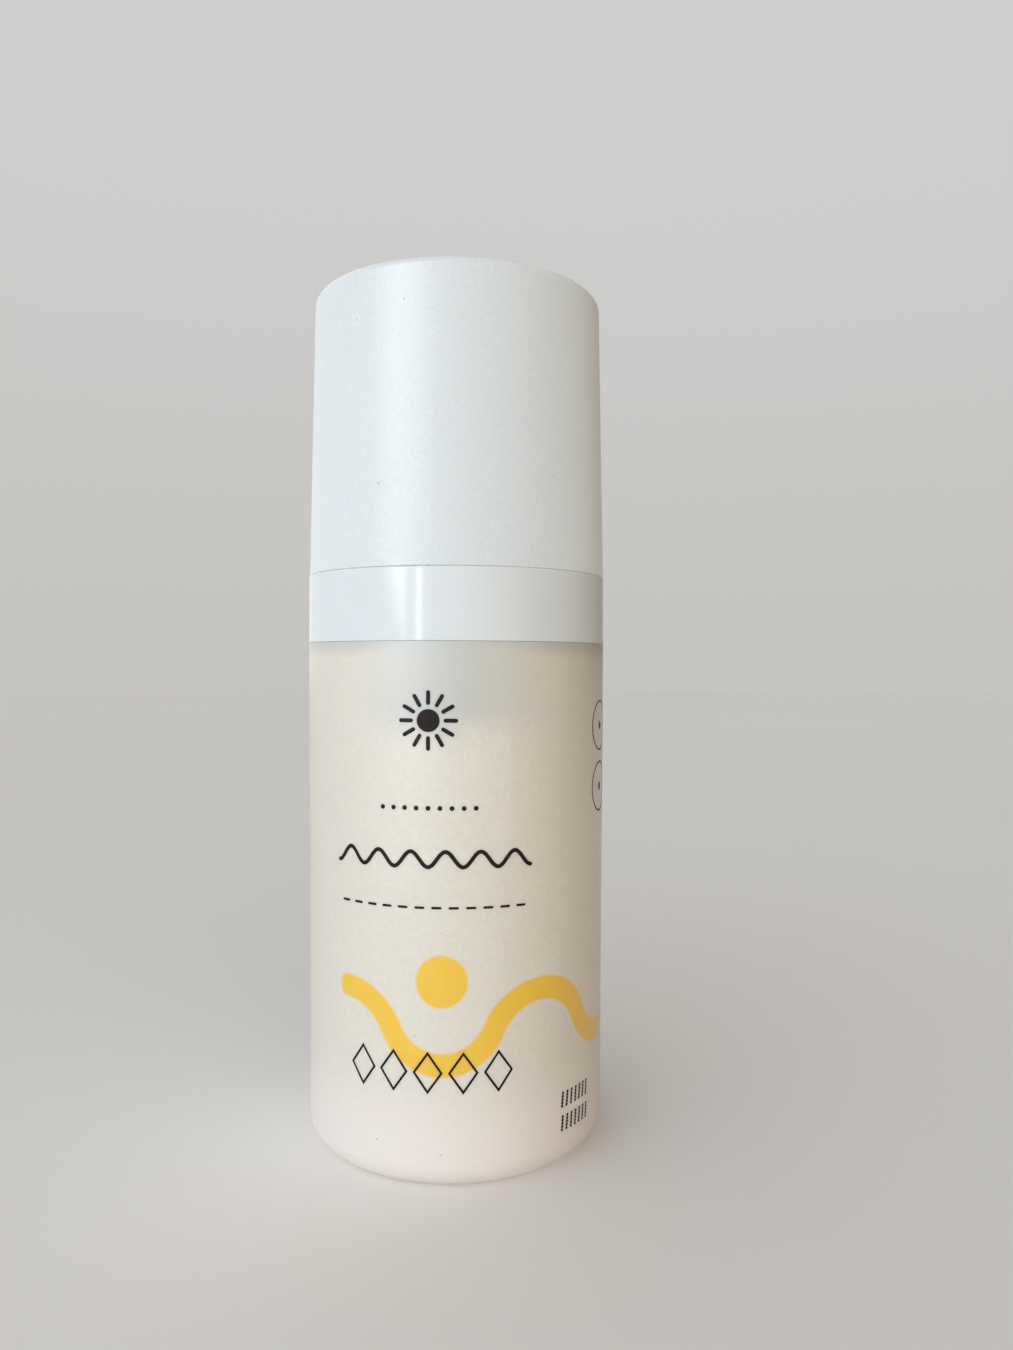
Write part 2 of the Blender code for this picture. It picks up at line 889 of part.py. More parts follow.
def main():
    clear_scene()
    bottle = new_collection("dispenser_bottle")
    cutters = new_collection("cutters", shown=False)

    finish = part_materials()

    cap_frame = axis_frame("overcap_frame", cap_bottom)
    stem_frame = axis_frame("stem_frame", stem_bottom)
    piston_frame = axis_frame("piston_frame", piston_bottom, stem_frame)
    actuator_frame = axis_frame("actuator_frame", core_bottom, stem_frame)
    ball_frame = axis_frame("ball_frame", ball_height())
    follower_frame = axis_frame("follower_frame", floor_height + rest_gap)

    make_body_shell(bottle, finish["frosted_pp"])
    make_plate_seal(bottle, finish["seal_tpe"])
    make_closure_plate(bottle, finish["natural_pp"])
    make_collar(bottle, finish["gloss_white_pp"])
    make_overcap(bottle, finish["matte_white_pp"], cap_frame)
    make_follower(bottle, finish["soft_pe"], follower_frame)
    make_pump_housing(bottle, finish["natural_pp"])
    make_housing_gasket(bottle, finish["seal_tpe"])
    make_housing_cap(bottle, finish["satin_white_pp"])
    make_inlet_ball(bottle, finish["ball_glass"], ball_frame)
    make_ball_retainer(bottle, cutters, finish["natural_pp"])
    make_stem_plug(bottle, finish["natural_pp"], stem_frame)
    make_pump_piston(bottle, finish["soft_pe"], piston_frame)
    make_stem(bottle, cutters, finish["natural_pp"], stem_frame)
    make_pump_spring(bottle, finish["spring_steel"])
    make_actuator_core(bottle, cutters, finish["satin_white_pp"], actuator_frame)
    make_actuator_shell(bottle, cutters, finish["satin_white_pp"], actuator_frame)
    make_nozzle_insert(bottle, finish["satin_white_pp"], actuator_frame)


main()
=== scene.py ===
"""A round airless bottle of sun cream, made piece by piece in the order that a factory
puts it together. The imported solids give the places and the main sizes. Lengths are in
metres and angles in radians, unless a name says mm or degrees."""

import math

import bmesh
import bpy
from mathutils import Matrix, Vector


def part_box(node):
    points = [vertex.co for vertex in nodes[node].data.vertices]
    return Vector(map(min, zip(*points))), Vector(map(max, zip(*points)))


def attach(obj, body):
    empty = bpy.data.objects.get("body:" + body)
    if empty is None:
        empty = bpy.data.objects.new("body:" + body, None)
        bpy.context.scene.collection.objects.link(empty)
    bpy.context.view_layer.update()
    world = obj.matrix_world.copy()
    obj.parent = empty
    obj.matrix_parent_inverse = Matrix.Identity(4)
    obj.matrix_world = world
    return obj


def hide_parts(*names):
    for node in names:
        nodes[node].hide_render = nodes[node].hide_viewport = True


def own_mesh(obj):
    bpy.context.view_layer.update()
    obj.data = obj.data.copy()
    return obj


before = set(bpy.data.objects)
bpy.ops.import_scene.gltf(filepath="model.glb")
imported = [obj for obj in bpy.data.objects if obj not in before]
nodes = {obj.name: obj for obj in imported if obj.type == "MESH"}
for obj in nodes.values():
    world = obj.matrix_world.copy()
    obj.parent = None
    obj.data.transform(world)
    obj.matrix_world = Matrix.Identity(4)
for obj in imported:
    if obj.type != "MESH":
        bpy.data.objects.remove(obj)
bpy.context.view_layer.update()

# Camera
# A phone stands in for the eye: level, 175 mm from the bottle's axis, a little to the
# right of the printed front. Its lens is wide, so the nearer wall bulges a little.
camera_distance = 0.1748
camera_height = 0.0789
camera_side = math.radians(9.9)
camera_yaw = 0.0485
camera_pitch = 0.0102
camera_roll = -0.0032
camera_lens_mm = 27.04


def toward(side, reach, height=0.0):
    """The place at this reach from the bottle's axis, side radians round from the front."""
    return Vector((reach * math.sin(side), -reach * math.cos(side), height))


camera = bpy.data.objects.new("camera", bpy.data.cameras.new("camera"))
camera.data.lens = camera_lens_mm
camera.data.clip_start = 0.01
camera.location = toward(camera_side, camera_distance, camera_height)
camera.rotation_euler = (math.pi / 2 - camera_pitch, camera_roll, camera_side - camera_yaw)
bpy.context.collection.objects.link(camera)
bpy.context.scene.camera = camera
bpy.context.scene.view_settings.view_transform = "Standard"

# Studio
# A pale board on a table in a soft room: bright in front and on the left, where a tall
# window and a gap beside it shine on glossy plastic, and dim and warm on the right. The
# room's colours go round the horizon in equal steps from straight behind the bottle,
# first left, then past the camera, then right.
floor_size = 6.0
floor_colour = "EAE9E6"
floor_mottle_colour = "F1F0EE"
floor_mottle_scale = 9.0
floor_roughness = 0.75
room_round = (
    "959493",
    "999897",
    "8B8884",
    "8E8983",
    "A2A7AD",
    "C4CBD5",
    "B7B9B9",
    "A79D86",
    "562B00",
    "1D0700",
    "0D0700",
    "2F2B27",
    "959493",
)
table_round = (
    "898887",
    "959493",
    "898683",
    "85827F",
    "8C8E91",
    "90969D",
    "8C8F8F",
    "85837A",
    "5C4827",
    "382407",
    "27190D",
    "2F2B24",
    "898887",
)
ceiling_colour = "595B5C"
ceiling_starts = (math.sin(math.radians(40)), math.sin(math.radians(60)))
table_starts = (math.sin(math.radians(-8)), math.sin(math.radians(-22)))
room_strength = 3.45


def linear(code):
    """An sRGB hex colour as the linear one that shaders and lights take."""
    shares = [int(code[place : place + 2], 16) / 255 for place in (0, 2, 4)]
    return (*(s / 12.92 if s <= 0.04045 else ((s + 0.055) / 1.055) ** 2.4 for s in shares), 1.0)


def add(tree, kind, inputs=(), **settings):
    """Adds a shader node with its settings, and its inputs as values or as links."""
    node = tree.nodes.new(f"ShaderNode{kind}")
    for name, value in settings.items():
        setattr(node, name, value)
    for name, value in dict(inputs).items():
        if isinstance(value, bpy.types.NodeSocket):
            tree.links.new(value, node.inputs[name])
        else:
            node.inputs[name].default_value = value
    return node


def between(tree, share, first, second):
    """The colour that lies this share of the way from the first to the second."""
    mix = add(tree, "Mix", {0: share, 6: first, 7: second}, data_type="RGBA")
    return mix.outputs[2]


def stepped(tree, value, low, high):
    """A soft step from 0 at low to 1 at high, which may be the smaller."""
    step = add(
        tree,
        "MapRange",
        {"Value": value, "From Min": low, "From Max": high},
        interpolation_type="SMOOTHSTEP",
    )
    return step.outputs["Result"]


room = bpy.data.worlds.new("soft_room")
room.use_nodes = True
bpy.context.scene.world = room
room_tree = room.node_tree
way = add(room_tree, "TexCoord").outputs["Generated"]
turned_way = add(
    room_tree,
    "VectorRotate",
    {"Vector": way, "Angle": math.pi / 2 - camera_side},
    rotation_type="Z_AXIS",
)
east, north, rise = add(room_tree, "SeparateXYZ", {0: turned_way.outputs[0]}).outputs
round_room = add(room_tree, "Math", {0: north, 1: east}, operation="ARCTAN2").outputs[0]
round_share = add(
    room_tree, "MapRange", {"Value": round_room, "From Min": -math.pi, "From Max": math.pi}
)
linings = []
for colours in (room_round, table_round):
    lining = add(room_tree, "ValToRGB", {"Fac": round_share.outputs["Result"]})
    lining.color_ramp.interpolation = "B_SPLINE"
    for place in range(1, len(colours) - 1):
        lining.color_ramp.elements.new(place / (len(colours) - 1))
    for stop, code in zip(lining.color_ramp.elements, colours):
        stop.color = linear(code)
    linings.append(lining.outputs["Color"])
overhead = stepped(room_tree, rise, *ceiling_starts)
below = stepped(room_tree, rise, *table_starts)
surroundings = between(room_tree, overhead, linings[0], linear(ceiling_colour))
surroundings = between(room_tree, below, surroundings, linings[1])
room_shine = room_tree.nodes["Background"]
room_tree.links.new(surroundings, room_shine.inputs["Color"])
room_shine.inputs["Strength"].default_value = room_strength


def set_up(name, shape, material, passed_by):
    """An object of the studio, which the named kinds of ray pass by."""
    mesh = bpy.data.meshes.new(name)
    shape.to_mesh(mesh)
    shape.free()
    mesh.materials.append(material)
    thing = bpy.data.objects.new(name, mesh)
    bpy.context.collection.objects.link(thing)
    for ray in passed_by:
        setattr(thing, f"visible_{ray}", False)
    return thing


board = bpy.data.materials.new("painted_board")
board.use_nodes = True
tree = board.node_tree
board_shader = tree.nodes["Principled BSDF"]
board_shader.inputs["Roughness"].default_value = floor_roughness
board_shader.inputs["Specular IOR Level"].default_value = 0.0
mottle = add(tree, "TexNoise", {"Scale": floor_mottle_scale, "Detail": 3.0}).outputs["Fac"]
board_paint = between(tree, mottle, linear(floor_colour), linear(floor_mottle_colour))
tree.links.new(board_paint, board_shader.inputs["Base Color"])
floor_shape = bmesh.new()
bmesh.ops.create_grid(floor_shape, x_segments=4, y_segments=4, size=floor_size / 2)
floor = set_up("floor", floor_shape, board, ("diffuse",))

# A pale paper dome closes the view behind the board. Only the camera sees it.
dome_radius = 2.9
dome_rise = 1.6
dome_low_colour = "C6C4C1"
dome_high_colour = "CECECD"


def glowing(name, strength):
    """A material that only shines, and its emission node."""
    glow = bpy.data.materials.new(name)
    glow.use_nodes = True
    tree = glow.node_tree
    tree.nodes.remove(tree.nodes["Principled BSDF"])
    shine = add(tree, "Emission", {"Strength": strength})
    tree.links.new(shine.outputs["Emission"], tree.nodes["Material Output"].inputs["Surface"])
    return glow, shine


paper, shine = glowing("pale_paper_backdrop", 1.0)
tree = paper.node_tree
dome_place = add(tree, "TexCoord").outputs["Object"]
dome_height = add(tree, "SeparateXYZ", {0: dome_place}).outputs["Z"]
dome_share = stepped(tree, dome_height, 0.0, dome_rise)
dome_colour = between(tree, dome_share, linear(dome_low_colour), linear(dome_high_colour))
tree.links.new(dome_colour, shine.inputs["Color"])
dome_shape = bmesh.new()
bmesh.ops.create_uvsphere(dome_shape, u_segments=96, v_segments=48, radius=dome_radius)
dome = set_up("dome", dome_shape, paper, ("diffuse", "glossy", "shadow"))

# Daylight comes through a tall window, its lower corner covered, and a narrow gap beside
# it. Each corner is given as (degrees left of the camera, degrees up).
pane_distance = 1.5
daylight_colour = "FCFEFF"
window_outline = ((38.3, 2.0), (38.3, 42.0), (54.4, 42.0), (54.4, 7.0), (44.0, 4.5))
window_strength = 9.5
gap_outline = ((27.7, 0.5), (27.7, 42.0), (29.2, 42.0), (29.2, 0.5))
gap_strength = 26.0


def bright_pane(name, outline, strength):
    """A shining pane far off, which only reflections show."""
    glow, shine = glowing(f"daylight_{name}", strength)
    shine.inputs["Color"].default_value = linear(daylight_colour)
    shape = bmesh.new()
    corners = []
    for side_deg, rise_deg in outline:
        lift = pane_distance * math.tan(math.radians(rise_deg))
        side = camera_side - math.radians(side_deg)
        corners.append(shape.verts.new(toward(side, pane_distance, camera_height + lift)))
    shape.faces.new(corners)
    pane = set_up(name, shape, glow, ("camera", "diffuse", "shadow"))


bright_pane("tall_window", window_outline, window_strength)
bright_pane("window_gap", gap_outline, gap_strength)

# Body shell
# Injection-moulded translucent polypropylene, satin from a finely blasted mould, with
# the cream against its wall. Its neck snaps into the collar later.
body_seam = 0.00014
body_draft = 0.0003
body_base_edge = 0.0045
body_inner_edge = 0.0010
body_shoulder_edge = 0.00012
body_wall = 0.0022
body_neck_step = 0.0012
body_floor = 0.0035
standing_ring_width = 0.0018
base_recess_depth = 0.0015
base_recess_run = 0.0012
vent_radius = 0.0006
snap_bead = 0.00025
snap_bead_width = 0.0010
body_snap_height = 0.0042
edge_break = 0.0002
round_steps = 192
arc_step = math.radians(7.5)
sharp_angle = math.radians(40)
weld_distance = 1e-7
plastic_ior = 1.49
speck_colour = "8C8A85"
speck_depth = 0.6
body_low, body_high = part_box("body_shell")
body_radius = body_high.x
body_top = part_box("collar")[0].z - body_seam


def rounded(outline):
    """Corners (radius, height) or (radius, height, fillet) as a line with round corners."""
    line = []
    for place, corner in enumerate(outline):
        here = Vector(corner[:2])
        fillet = corner[2] if len(corner) == 3 else 0
        if not fillet:
            line.append(here)
            continue
        back = (Vector(outline[place - 1][:2]) - here).normalized()
        ahead = (Vector(outline[(place + 1) % len(outline)][:2]) - here).normalized()
        half = back.angle(ahead) / 2
        centre = here + (back + ahead).normalized() * fillet / math.sin(half)
        spoke = here + back * fillet / math.tan(half) - centre
        turn = math.copysign(math.pi - 2 * half, ahead.cross(back))
        steps = max(2, math.ceil(abs(turn) / arc_step))
        line += [
            centre + Matrix.Rotation(turn * step / steps, 2) @ spoke for step in range(steps + 1)
        ]
    return line


def finish_piece(name, shape, material):
    """Makes the piece's object, shaded smooth but for its sharp corners."""
    mesh = bpy.data.meshes.new(name)
    shape.to_mesh(mesh)
    shape.free()
    mesh.materials.append(material)
    mesh.shade_smooth()
    mesh.set_sharp_from_angle(angle=sharp_angle)
    piece = bpy.data.objects.new(name, mesh)
    bpy.context.collection.objects.link(piece)
    normals = piece.modifiers.new("even_normals", "WEIGHTED_NORMAL")
    normals.keep_sharp = True
    return piece


def turn_shape(outline, steps=round_steps):
    """Turns an outline round Z: a ring if it stays off the axis, else a solid."""
    shape = bmesh.new()
    line = [shape.verts.new((point.x, 0, point.y)) for point in rounded(outline)]
    edges = [shape.edges.new(pair) for pair in zip(line, line[1:])]
    if outline[0][0] > 0:
        edges.append(shape.edges.new((line[-1], line[0])))
    bmesh.ops.spin(
        shape,
        geom=line + edges,
        cent=(0, 0, 0),
        axis=(0, 0, 1),
        angle=math.tau,
        steps=steps,
        use_merge=True,
    )
    bmesh.ops.remove_doubles(shape, verts=shape.verts, dist=weld_distance)
    bmesh.ops.recalc_face_normals(shape, faces=shape.faces)
    return shape


def bead(radius, height, out, width):
    """A snap bead up a wall, standing out of it when out is positive."""
    return [
        (radius, height - width / 2),
        (radius + out, height - width / 4),
        (radius + out, height + width / 4),
        (radius, height + width / 2),
    ]


def new_finish(name, inputs):
    """A material, its shader with these plain inputs, and the piece's own coordinates."""
    material = bpy.data.materials.new(name)
    material.use_nodes = True
    shader = material.node_tree.nodes["Principled BSDF"]
    for key, value in {"IOR": plastic_ior, **inputs}.items():
        shader.inputs[key].default_value = value
    place = add(material.node_tree, "TexCoord").outputs["Object"]
    return material, shader, place


def maths(tree, operation, first, second=0.0, third=0.0):
    """One sum on numbers or sockets."""
    return add(tree, "Math", {0: first, 1: second, 2: third}, operation=operation).outputs[0]


def blotches(place, size_mm, detail=2.0):
    """Noise from 0 to 1 whose blotches are about size_mm across."""
    inputs = {"Vector": place, "Scale": 1000 / size_mm, "Detail": detail}
    return add(place.id_data, "TexNoise", inputs).outputs["Fac"]


def cells(place, apart_mm):
    """Cells this far apart: the distance from a cell's middle, and a colour for each cell."""
    pattern = add(place.id_data, "TexVoronoi", {"Vector": place, "Scale": 1000 / apart_mm})
    return pattern.outputs["Distance"], pattern.outputs["Color"]


def specked(place, colour, apart_mm, size_mm, clean_share):
    """The colour with a few dark specks, such as dust moulded in or stuck on."""
    tree = place.id_data
    distance, cell_colour = cells(place, apart_mm)
    reach = size_mm / apart_mm
    near = stepped(tree, distance, reach, reach / 2)
    pick = add(tree, "SeparateXYZ", {0: cell_colour}).outputs["X"]
    here = maths(tree, "MULTIPLY", near, maths(tree, "GREATER_THAN", pick, clean_share))
    return between(tree, maths(tree, "MULTIPLY", here, speck_depth), colour, linear(speck_colour))


def tint(shader, share, first, second):
    """Colours the shader from the first hex colour to the second, by this share."""
    tree = shader.id_data
    colour = between(tree, share, linear(first), linear(second))
    tree.links.new(colour, shader.inputs["Base Color"])


def roughen(shader, share, smooth, rough):
    """Makes the shader's roughness go from smooth to rough, by this share."""
    tree = shader.id_data
    spread = add(tree, "MapRange", {"Value": share, "To Min": smooth, "To Max": rough})
    tree.links.new(spread.outputs["Result"], shader.inputs["Roughness"])
    return spread.outputs["Result"]


def dent(shader, height, strength, depth):
    """Bumps the shader's surface, on top of any bumps that it has."""
    tree = shader.id_data
    bump = add(tree, "Bump", {"Height": height, "Strength": strength, "Distance": depth})
    if shader.inputs["Normal"].is_linked:
        tree.links.new(shader.inputs["Normal"].links[0].from_socket, bump.inputs["Normal"])
    tree.links.new(bump.outputs["Normal"], shader.inputs["Normal"])


# Frosted polypropylene with cream behind it: satin and soft at its edges. A band just under the
# collar and a patch high on the front are painted greyer and cooler: painted shade.
cream_colour = "D9D3C6"
cream_pale_colour = "E0DBCF"
broad_mottle_share = 0.45
fine_mottle_share = 0.55
noise_steps = (0.35, 0.65)
# The colour of the painted light towards the foot of the wall.
painted_foot_light_colour = "ECE3DE"
painted_foot_light_share = 0.75
painted_foot_light_fade = (0.0200, 0.0070)
# The grey of the painted shade near the top of the wall.
painted_shade_colour = "BCBFBB"
top_shade_share = 0.8
top_shade_fade = (body_top - 0.0030, body_top - 0.0002)
patch_shade_share = 0.85
patch_shade_height = 0.0690
patch_shade_rise = 0.0034
patch_shade_left = (math.radians(-32), math.radians(-2))
patch_shade_right = (math.radians(52), math.radians(10))

body_finish, shader, place = new_finish(
    "satin_polypropylene_over_cream",
    {
        "IOR": 1.6,
        "Subsurface Weight": 0.75,
        "Subsurface Radius": (1.0, 0.72, 0.5),
        "Subsurface Scale": 0.0011,
        "Coat Weight": 1.0,
        "Coat Roughness": 0.36,
    },
)
shader.subsurface_method = "BURLEY"
tree = body_finish.node_tree
east, north, height = add(tree, "SeparateXYZ", {0: place}).outputs
side = maths(tree, "ARCTAN2", east, maths(tree, "MULTIPLY", north, -1.0))
arc = maths(tree, "MULTIPLY", side, body_radius)

broad_mottle = blotches(place, size_mm=14, detail=3.0)
fine_mottle = stepped(tree, blotches(place, size_mm=0.8), *noise_steps)
mottle = maths(tree, "MULTIPLY", fine_mottle, fine_mottle_share)
mottle = maths(tree, "MULTIPLY_ADD", broad_mottle, broad_mottle_share, mottle)
colour = between(tree, mottle, linear(cream_colour), linear(cream_pale_colour))
# Painted light: the wall is paler and pinker towards its foot.
painted_foot_light = maths(tree, "MULTIPLY", stepped(tree, height, *painted_foot_light_fade), painted_foot_light_share)
colour = between(tree, painted_foot_light, colour, linear(painted_foot_light_colour))
colour = specked(place, colour, apart_mm=2.0, size_mm=0.20, clean_share=0.96)
# Painted shade: a cooler, greyer patch high on the front, its lower edge wavering.
level = maths(tree, "MULTIPLY_ADD", blotches(place, size_mm=9), 2 * patch_shade_rise, height)
patch_shade = stepped(tree, level, patch_shade_height, patch_shade_height + 2 * patch_shade_rise)
for end in (patch_shade_left, patch_shade_right):
    patch_shade = maths(tree, "MULTIPLY", patch_shade, stepped(tree, side, *end))
patch_shade = maths(tree, "MULTIPLY", patch_shade, patch_shade_share)
# Painted shade: greyer in the last few millimetres under the collar.
top_shade = maths(tree, "MULTIPLY", stepped(tree, height, *top_shade_fade), top_shade_share)
colour = between(tree, maths(tree, "MAXIMUM", patch_shade, top_shade), colour, linear(painted_shade_colour))

# The yellow print: a broad wave of ring arcs with a sun over its first trough. The ink
# lies on frosted plastic, so its edge is soft.
wave_height = 0.0245
wave_swing = 0.0052
wave_half = 0.0080
wave_line = 0.0037
wave_start = -0.0139
wave_crests = 4
print_soft = 0.00032
print_wander = 0.00012
sun_yellow = "EDBA16"
sun_yellow_thin = "F1C52E"
sun_arc = wave_start + 2 * wave_half
sun_height = 0.0318
sun_radius = 0.0040
wave_radius = (wave_half**2 + wave_swing**2) / (2 * wave_swing)
wave_drop = wave_radius - wave_swing
wave_end = wave_start + 4 * wave_half * (wave_crests - 2)


def from_point(tree, across, up, at_across, at_up, radius):
    """How far a place on the wall lies outside a disc."""
    run = maths(tree, "SUBTRACT", across, at_across)
    rise = maths(tree, "SUBTRACT", up, at_up)
    squares = maths(tree, "MULTIPLY_ADD", run, run, maths(tree, "MULTIPLY", rise, rise))
    return maths(tree, "SUBTRACT", maths(tree, "SQRT", squares), radius)


rise = maths(tree, "SUBTRACT", height, wave_height)
under = maths(tree, "LESS_THAN", rise, 0.0)
turned_rise = maths(tree, "ABSOLUTE", rise)
along = maths(tree, "MULTIPLY_ADD", under, -2 * wave_half, arc)
along = maths(tree, "SUBTRACT", along, wave_start)
along = maths(tree, "WRAP", along, 2 * wave_half, -2 * wave_half)
off_line = from_point(tree, along, turned_rise, 0.0, -wave_drop, wave_radius)
off_line = maths(tree, "SUBTRACT", maths(tree, "ABSOLUTE", off_line), wave_line / 2)
middle = (wave_start + wave_end) / 2
past_ends = maths(tree, "ABSOLUTE", maths(tree, "SUBTRACT", arc, middle))
past_ends = maths(tree, "SUBTRACT", past_ends, (wave_end - wave_start) / 2)
off_print = maths(tree, "MAXIMUM", off_line, past_ends)
crest = wave_height + wave_swing
for end in (wave_start, wave_end):
    cap = from_point(tree, arc, height, end, crest, wave_line / 2)
    off_print = maths(tree, "MINIMUM", off_print, cap)
sun = from_point(tree, arc, height, sun_arc, sun_height, sun_radius)
off_print = maths(tree, "MINIMUM", off_print, sun)
bleed = maths(tree, "MULTIPLY_ADD", blotches(place, size_mm=0.5), print_wander, off_print)
printed = stepped(tree, bleed, print_soft, -print_soft)
patchy = blotches(place, size_mm=3.0, detail=3.0)
yellow = between(tree, patchy, linear(sun_yellow), linear(sun_yellow_thin))
colour = between(tree, printed, colour, yellow)
tree.links.new(colour, shader.inputs["Base Color"])
roughen(shader, blotches(place, size_mm=6.0, detail=4.0), smooth=0.36, rough=0.48)
dent(shader, blotches(place, size_mm=0.25, detail=3.0), strength=0.35, depth=0.00001)
dent(shader, blotches(place, size_mm=22, detail=1.0), strength=0.5, depth=0.00008)

ring_outer = body_radius - body_draft - body_base_edge
ring_inner = ring_outer - standing_ring_width
bore = body_radius - body_wall
neck = body_radius - body_neck_step
body = finish_piece(
    "body_shell_fine",
    turn_shape(
        [
            (body_radius, body_top, body_shoulder_edge),
            (body_radius - body_draft, body_low.z, body_base_edge),
            (ring_inner, body_low.z, edge_break),
            (ring_inner - base_recess_run, base_recess_depth, edge_break),
            (vent_radius, base_recess_depth),
            (vent_radius, body_floor),
            (bore, body_floor, body_inner_edge),
            (bore, body_high.z, edge_break),
            (neck, body_high.z, edge_break),
            *reversed(bead(neck, body_top + body_snap_height, snap_bead, snap_bead_width)),
            (neck, body_top),
        ]
    ),
    body_finish,
)
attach(body, "bottle")
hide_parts("body_shell")

# Print on the front
# Screen-printed dark ink, cured hard: fine lines two hundredths of a millimetre proud.
# The marks are plain ones: a sun, dots, a wavy line, dashes, lozenges, rings and ticks.
ink_rest = 0.000004
ink_proud = 0.000022
ink_step = 0.0004
ink_colours = ("1B1412", "2A201C")
round_end_points = 6
blunt_mitre = 0.5
dot_stretch = 0.02

ink, shader, place = new_finish("cured_screen_ink", {"Specular IOR Level": 0.15})
ink_depth = blotches(place, size_mm=0.6, detail=3.0)
tint(shader, ink_depth, *ink_colours)
roughen(shader, ink_depth, smooth=0.30, rough=0.46)
dent(shader, ink_depth, strength=0.3, depth=0.000006)


def spaced(points, closed=False):
    """The same line with a point at least every ink_step, so that it can bend round the wall."""
    ends = list(zip(points, points[1:] + points[:1])) if closed else list(zip(points, points[1:]))
    line = []
    for start, end in ends:
        count = max(1, math.ceil((end - start).length / ink_step))
        line += [start.lerp(end, step / count) for step in range(count)]
    return line if closed else [*line, points[-1]]


def stroke(shape, points, width, closed=False):
    """A pen stroke of this width along points (arc, height), flat, with round ends."""
    line = spaced([Vector(point) for point in points], closed)
    left, right = [], []
    for place, here in enumerate(line):
        before = line[place - 1] if closed or place else here
        after = line[(place + 1) % len(line)] if closed or place < len(line) - 1 else here
        into = (here - before).normalized()
        out = (after - here).normalized()
        along = (into + out).normalized()
        normal = Vector((-along.y, along.x))
        bend = math.sqrt((1 + into.dot(out)) / 2)
        square = max(blunt_mitre, bend) if before != here != after else 1.0
        left.append(shape.verts.new((*(here + normal * width / 2 / square), 0)))
        right.append(shape.verts.new((*(here - normal * width / 2 / square), 0)))
    for place in range(len(line) if closed else len(line) - 1):
        ahead = (place + 1) % len(line)
        shape.faces.new((left[place], right[place], right[ahead], left[ahead]))
    if closed:
        return
    for at, first, last in ((0, left, right), (-1, right, left)):
        spoke = first[at].co.to_2d() - line[at]
        turns = max(round_end_points, math.ceil(math.pi * spoke.length / ink_step))
        arc_points = [
            shape.verts.new((*(line[at] + Matrix.Rotation(math.pi * step / turns, 2) @ spoke), 0))
            for step in range(1, turns)
        ]
        shape.faces.new((first[at], *arc_points, last[at]))


def ring_points(centre_arc, centre_height, radius, count):
    """Points round a ring on the wall."""
    return [
        (
            centre_arc + radius * math.cos(math.tau * step / count),
            centre_height + radius * math.sin(math.tau * step / count),
        )
        for step in range(count)
    ]


def wall_radius(height):
    """The body's outer radius at this height, with its slight draft."""
    return body_radius - body_draft * (1 - height / body_top)


def print_mark(name, strokes):
    """Bends flat strokes (points, width, closed) round the wall as one thin film of ink."""
    shape = bmesh.new()
    for points, width, closed in strokes:
        stroke(shape, points, width, closed)
    top = bmesh.ops.extrude_face_region(shape, geom=list(shape.faces), use_keep_orig=True)["geom"]
    outer = {vert for vert in top if isinstance(vert, bmesh.types.BMVert)}
    for vert in shape.verts:
        across, height = vert.co.x, vert.co.y
        lift = ink_proud if vert in outer else ink_rest
        vert.co = toward(across / body_radius, wall_radius(height) + lift, height)
    bmesh.ops.recalc_face_normals(shape, faces=shape.faces)
    mark = finish_piece(name, shape, ink)
    mark.modifiers.clear()
    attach(mark, "bottle")


def disc(centre_arc, centre_height, radius):
    """A dot, as a short stroke whose round ends meet."""
    reach = radius * dot_stretch
    return (
        [(centre_arc - reach, centre_height), (centre_arc + reach, centre_height)],
        2 * radius,
        False,
    )


icon_height = 0.0706
icon_core = 0.0017
icon_rays = 12
icon_ray = (0.0026, 0.0042)
icon_line = 0.00060
rays = []
for ray in range(icon_rays):
    turn = math.tau * ray / icon_rays
    heading = Vector((math.sin(turn), math.cos(turn)))
    tip = [Vector((0, icon_height)) + heading * reach for reach in icon_ray]
    rays.append((tip, icon_line, False))
print_mark("print_sun_icon", [disc(0, icon_height, icon_core), *rays])

dot_row_height = 0.0576
dot_row_count = 9
dot_row_pitch = 0.0018
dot_radius = 0.00036
dots = [
    disc((dot - (dot_row_count - 1) / 2) * dot_row_pitch, dot_row_height, dot_radius)
    for dot in range(dot_row_count)
]
print_mark("print_dot_row", dots)

ripple_height = 0.0500
ripple_swing = 0.00115
ripple_length = 0.0053
ripple_count = 6
ripple_line = 0.00060
ripple_points = 20
ripple = []
for step in range(ripple_count * ripple_points + 1):
    turn = step / ripple_points
    ripple.append(
        (
            (turn - ripple_count / 2) * ripple_length,
            ripple_height - ripple_swing * math.cos(math.tau * turn),
        )
    )
print_mark("print_wavy_line", [(ripple, ripple_line, False)])

dash_row_height = 0.0428
dash_count = 12
dash_length = 0.0012
dash_pitch = 0.0026
dash_line = 0.00036
dashes = []
for dash in range(dash_count):
    start = (dash - (dash_count - 1) / 2) * dash_pitch - dash_length / 2
    dashes.append(
        ([(start, dash_row_height), (start + dash_length, dash_row_height)], dash_line, False)
    )
print_mark("print_dash_row", dashes)

lozenge_height = 0.0182
lozenge_count = 5
lozenge_pitch = 0.0054
lozenge_half = (0.0021, 0.0029)
lozenge_line = 0.00034
lozenges = []
for lozenge in range(lozenge_count):
    middle = (lozenge - (lozenge_count - 1) / 2) * lozenge_pitch
    wide, tall = lozenge_half
    corners = [
        (middle - wide, lozenge_height),
        (middle, lozenge_height + tall),
        (middle + wide, lozenge_height),
        (middle, lozenge_height - tall),
    ]
    lozenges.append((corners, lozenge_line, True))
print_mark("print_lozenge_row", lozenges)

